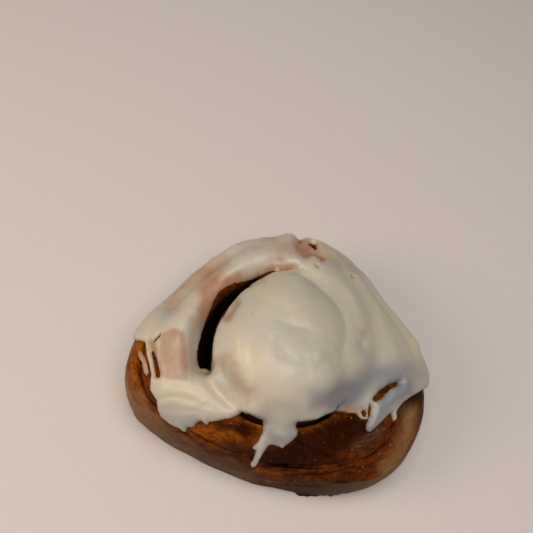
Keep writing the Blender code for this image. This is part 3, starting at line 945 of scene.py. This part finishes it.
class Nodes:
    """Short ways to add shader nodes to one material."""

    def __init__(self, name):
        self.material = bpy.data.materials.new(name)
        self.material.use_nodes = True
        self.tree = self.material.node_tree
        self.shader = self.tree.nodes["Principled BSDF"]

    def add(self, kind, inputs=(), **settings):
        node = self.tree.nodes.new(kind)
        for key, value in settings.items():
            setattr(node, key, value)
        for key, value in dict(inputs).items():
            self.put(node.inputs[key], value)
        return node

    def put(self, socket, value):
        if isinstance(value, bpy.types.NodeSocket):
            self.tree.links.new(value, socket)
        else:
            socket.default_value = value

    def attribute(self, name):
        return self.add("ShaderNodeAttribute", attribute_name=name).outputs["Fac"]

    def position(self):
        return self.add("ShaderNodeNewGeometry").outputs["Position"]

    def scaled(self, vector, factors):
        return self.add("ShaderNodeVectorMath", {0: vector, 1: factors}, operation="MULTIPLY").outputs[0]

    def plus(self, a, b):
        return self.add("ShaderNodeMath", {0: a, 1: b}, operation="ADD").outputs[0]

    def times(self, a, b):
        return self.add("ShaderNodeMath", {0: a, 1: b}, operation="MULTIPLY").outputs[0]

    def noise(self, vector, size, detail, roughness):
        """Noise from 0 to 1 with features about this size in metres."""
        inputs = {"Vector": vector, "Scale": 1 / size, "Detail": detail, "Roughness": roughness}
        return self.add("ShaderNodeTexNoise", inputs).outputs["Fac"]

    def span(self, value, low, high, to_low=0.0, to_high=1.0):
        inputs = {"Value": value, "From Min": low, "From Max": high, "To Min": to_low, "To Max": to_high}
        return self.add("ShaderNodeMapRange", inputs).outputs["Result"]

    def mix(self, share, a, b):
        node = self.add("ShaderNodeMix", data_type="RGBA")
        self.put(node.inputs["Factor"], share)
        for socket, value in ((node.inputs["A"], a), (node.inputs["B"], b)):
            colour = value if isinstance(value, bpy.types.NodeSocket) else (*value, 1.0)
            self.put([s for s in node.inputs if s.name == socket.name and s.type == "RGBA"][0], colour)
        return [s for s in node.outputs if s.type == "RGBA"][0]

    def bump(self, height, distance, strength, normal=None):
        node = self.add("ShaderNodeBump", {"Height": height, "Distance": distance, "Strength": strength})
        if normal is not None:
            self.put(node.inputs["Normal"], normal)
        return node.outputs["Normal"]


def crust_material():
    n = Nodes("baked_crust")
    along, up, wall, bake, deep = (n.attribute(a) for a in ("along", "up", "wall", "bake", "deep"))
    golden, dark, grey, pale = (n.attribute(a) for a in ("golden", "dark", "grey", "pale"))
    place = n.position()
    flat = n.add("ShaderNodeCombineXYZ", {"X": along, "Y": up}).outputs["Vector"]
    streaks = n.noise(n.scaled(flat, (0.0001, 0.001, 0.001)), 0.0008, 5.0, 0.65)
    strands = n.span(streaks, 0.32, 0.68)
    blotches = n.noise(place, 0.003, 5.0, 0.65)
    grain = n.noise(place, 0.0006, 3.0, 0.6)
    patches = n.plus(bake, n.span(blotches, 0.3, 0.7, -0.35, 0.35))
    flecks = n.noise(n.scaled(flat, (0.0004, 0.001, 0.001)), 0.0014, 5.0, 0.7)
    pores = n.noise(place, 0.0013, 3.0, 0.55)
    patches = n.plus(patches, n.span(pores, 0.3, 0.7, -0.25, 0.25))
    patches = n.plus(patches, n.span(flecks, 0.3, 0.7, -0.35, 0.35))
    colour = n.mix(n.span(patches, 0.1, 0.95), CRUST_LIGHT, CRUST_DARK)
    colour = n.mix(n.times(wall, 0.85), colour, n.mix(strands, WALL_DARK, WALL_LIGHT))
    # Golden crust, and painted highlights on the lit crests.
    gold = n.times(golden, n.span(patches, 0.2, 0.9, 1.0, 0.25))
    colour = n.mix(gold, colour, GOLDEN)
    # Burnt crust, and painted shade along the furrows and under the icing.
    burnt_and_shade = n.times(dark, n.span(flecks, 0.40, 0.60, 1.0, 0.8))
    colour = n.mix(burnt_and_shade, colour, BURNT_AND_SHADE)
    colour = n.mix(n.times(grey, 0.85), colour, n.mix(strands, GREY_DARK, GREY_LIGHT))
    crumb = n.times(n.plus(strands, n.span(n.plus(blotches, pores), 0.7, 1.3)), 0.5)
    colour = n.mix(n.times(pale, 0.9), colour, n.mix(crumb, CRUMB_DARK, CRUMB_LIGHT))
    colour = n.mix(n.span(grain, 0.38, 0.6, 0.3, 0.0), colour, PORE)
    crumbs = n.plus(n.noise(place, 0.0010, 1.0, 0.4), n.span(grey, 0.0, 1.0, 0.0, 0.06))
    sugar = n.span(crumbs, 0.74, 0.78, 0.0, 0.35)
    colour = n.mix(sugar, colour, SUGAR)
    colour = n.mix(deep, colour, UNLIT)
    n.put(n.shader.inputs["Base Color"], colour)
    n.put(n.shader.inputs["Roughness"], n.span(blotches, 0.3, 0.7, 0.36, 0.58))
    n.put(n.shader.inputs["Specular IOR Level"], n.span(wall, 0.0, 1.0, 0.09, 0.03))
    n.shader.inputs["Specular Tint"].default_value = (1.0, 0.5, 0.14, 1.0)
    n.shader.inputs["Subsurface Weight"].default_value = 0.06
    n.shader.inputs["Subsurface Radius"].default_value = (1.0, 0.4, 0.2)
    n.shader.inputs["Subsurface Scale"].default_value = 0.0015
    normal = n.bump(grain, 0.0004, 0.45)
    normal = n.bump(pores, 0.0008, 0.8, normal)
    normal = n.bump(flecks, 0.0006, 0.6, normal)
    normal = n.bump(blotches, 0.0006, 0.4, normal)
    n.put(n.shader.inputs["Normal"], n.bump(streaks, 0.0006, n.span(wall, 0.0, 1.0, 0.25, 0.55), normal))
    return n.material


def filling_material():
    n = Nodes("cinnamon_paste")
    grain = n.noise(n.position(), 0.0008, 4.0, 0.65)
    n.put(n.shader.inputs["Base Color"], n.mix(grain, PASTE_DARK, PASTE_LIGHT))
    n.shader.inputs["Roughness"].default_value = 0.38
    n.put(n.shader.inputs["Normal"], n.bump(grain, 0.0006, 0.7))
    return n.material


def icing_material():
    n = Nodes("cream_icing")
    place = n.position()
    thin_and_shaded, rich_and_highlit, icing_shade = (n.attribute(a) for a in ("thin_and_shaded", "rich_and_highlit", "icing_shade"))
    wide = n.noise(place, 0.014, 3.0, 0.5)
    middling = n.noise(place, 0.004, 4.0, 0.6)
    fine = n.noise(place, 0.0009, 4.0, 0.6)
    cream = n.mix(n.span(wide, 0.35, 0.65), CREAM, PALE_CREAM)
    # Yellower where the icing is thick, and painted highlights.
    cream = n.mix(n.times(rich_and_highlit, 0.9), cream, RICH_AND_HIGHLIGHT_CREAM)
    # Painted shade.
    cream = n.mix(icing_shade, cream, ICING_SHADE_COLOUR)
    # Pinkish brown where the icing is thin over the crust, and painted shade.
    uneven = n.plus(thin_and_shaded, n.span(middling, 0.3, 0.7, -0.14, 0.14))
    colour = n.mix(n.span(uneven, 0.25, 1.1), cream, THIN_AND_SHADED_CREAM)
    specks = n.span(n.noise(place, 0.0022, 2.0, 0.4), 0.76, 0.80, 0.0, 0.5)
    colour = n.mix(specks, colour, SPECK)
    n.put(n.shader.inputs["Base Color"], colour)
    n.put(n.shader.inputs["Roughness"], n.span(middling, 0.3, 0.7, 0.32, 0.48))
    n.shader.inputs["Subsurface Weight"].default_value = 0.3
    n.shader.inputs["Subsurface Radius"].default_value = (1.0, 0.7, 0.45)
    n.shader.inputs["Subsurface Scale"].default_value = 0.002
    n.shader.inputs["Coat Weight"].default_value = 0.08
    n.shader.inputs["Coat Roughness"].default_value = 0.3
    normal = n.bump(middling, 0.0006, 0.2)
    n.put(n.shader.inputs["Normal"], n.bump(fine, 0.0002, 0.25, normal))
    return n.material


def floor_material():
    n = Nodes("pale_card")
    fine = n.noise(n.position(), 0.003, 4.0, 0.6)
    n.put(n.shader.inputs["Base Color"], n.mix(fine, (0.60, 0.55, 0.53), (0.64, 0.58, 0.56)))
    n.shader.inputs["Roughness"].default_value = 0.7
    return n.material


def make_floor():
    size = 1.5
    corners = [(-size, -size, 0), (size, -size, 0), (size, size, 0), (-size, size, 0)]
    mesh = bpy.data.meshes.new("floor")
    mesh.from_pydata(corners, [], [(0, 1, 2, 3)])
    mesh.materials.append(floor_material())
    floor = bpy.data.objects.new("floor", mesh)
    floor.location.z = -0.0002
    bpy.context.scene.collection.objects.link(floor)


def add_area_light(name, place, aim, size, power, colour):
    light = bpy.data.lights.new(name, "AREA")
    light.shape = "DISK"
    light.size = size
    light.energy = power
    light.color = colour
    lamp = bpy.data.objects.new(name, light)
    lamp.location = place
    lamp.rotation_euler = (Vector(aim) - Vector(place)).to_track_quat("-Z", "Y").to_euler()
    bpy.context.scene.collection.objects.link(lamp)


def add_lights():
    middle = (0, 0, 0.02)
    add_area_light("window", (-0.50, -0.26, 0.42), middle, 0.36, 1.75, (1.0, 0.85, 0.67))
    add_area_light("ceiling", (0.02, -0.12, 0.70), middle, 0.60, 3.7, (1.0, 0.94, 0.88))
    world = bpy.data.worlds.new("studio")
    world.use_nodes = True
    background = world.node_tree.nodes["Background"]
    background.inputs["Color"].default_value = (0.93, 0.90, 0.88, 1.0)
    background.inputs["Strength"].default_value = 0.16
    bpy.context.scene.world = world
    bpy.context.scene.view_settings.view_transform = "Standard"


def add_camera():
    """The photograph's own view, from above the front and rolled a little."""
    right, up, forward = (Vector(axis) for axis in view_axes())
    camera = bpy.data.cameras.new("camera")
    camera.sensor_width = 36.0
    camera.lens = FOCAL_PIXELS / FRAME_PIXELS * camera.sensor_width
    camera.clip_start = 0.01
    view = bpy.data.objects.new("camera", camera)
    view.matrix_world = Matrix.Translation(EYE * MM) @ Matrix((right, up, -forward)).transposed().to_4x4()
    bpy.context.scene.collection.objects.link(view)
    bpy.context.scene.camera = view


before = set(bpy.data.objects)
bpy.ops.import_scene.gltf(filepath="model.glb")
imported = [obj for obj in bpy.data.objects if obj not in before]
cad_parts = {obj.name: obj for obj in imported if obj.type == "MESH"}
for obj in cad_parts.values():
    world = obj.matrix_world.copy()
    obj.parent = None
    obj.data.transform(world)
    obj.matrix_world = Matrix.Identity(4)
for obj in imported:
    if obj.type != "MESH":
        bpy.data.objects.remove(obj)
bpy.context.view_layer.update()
add_camera()
add_lights()
make_floor()
dough = make_dough(crust_material())
filling = make_filling(filling_material())
icing = make_icing(dough, icing_material())
for piece, node, material_slot in (
    (dough, "dough", "baked_dough"),
    (filling, "cinnamon_filling", "cinnamon"),
    (icing, "icing", "icing"),
):
    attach(piece, "root")
    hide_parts(node)
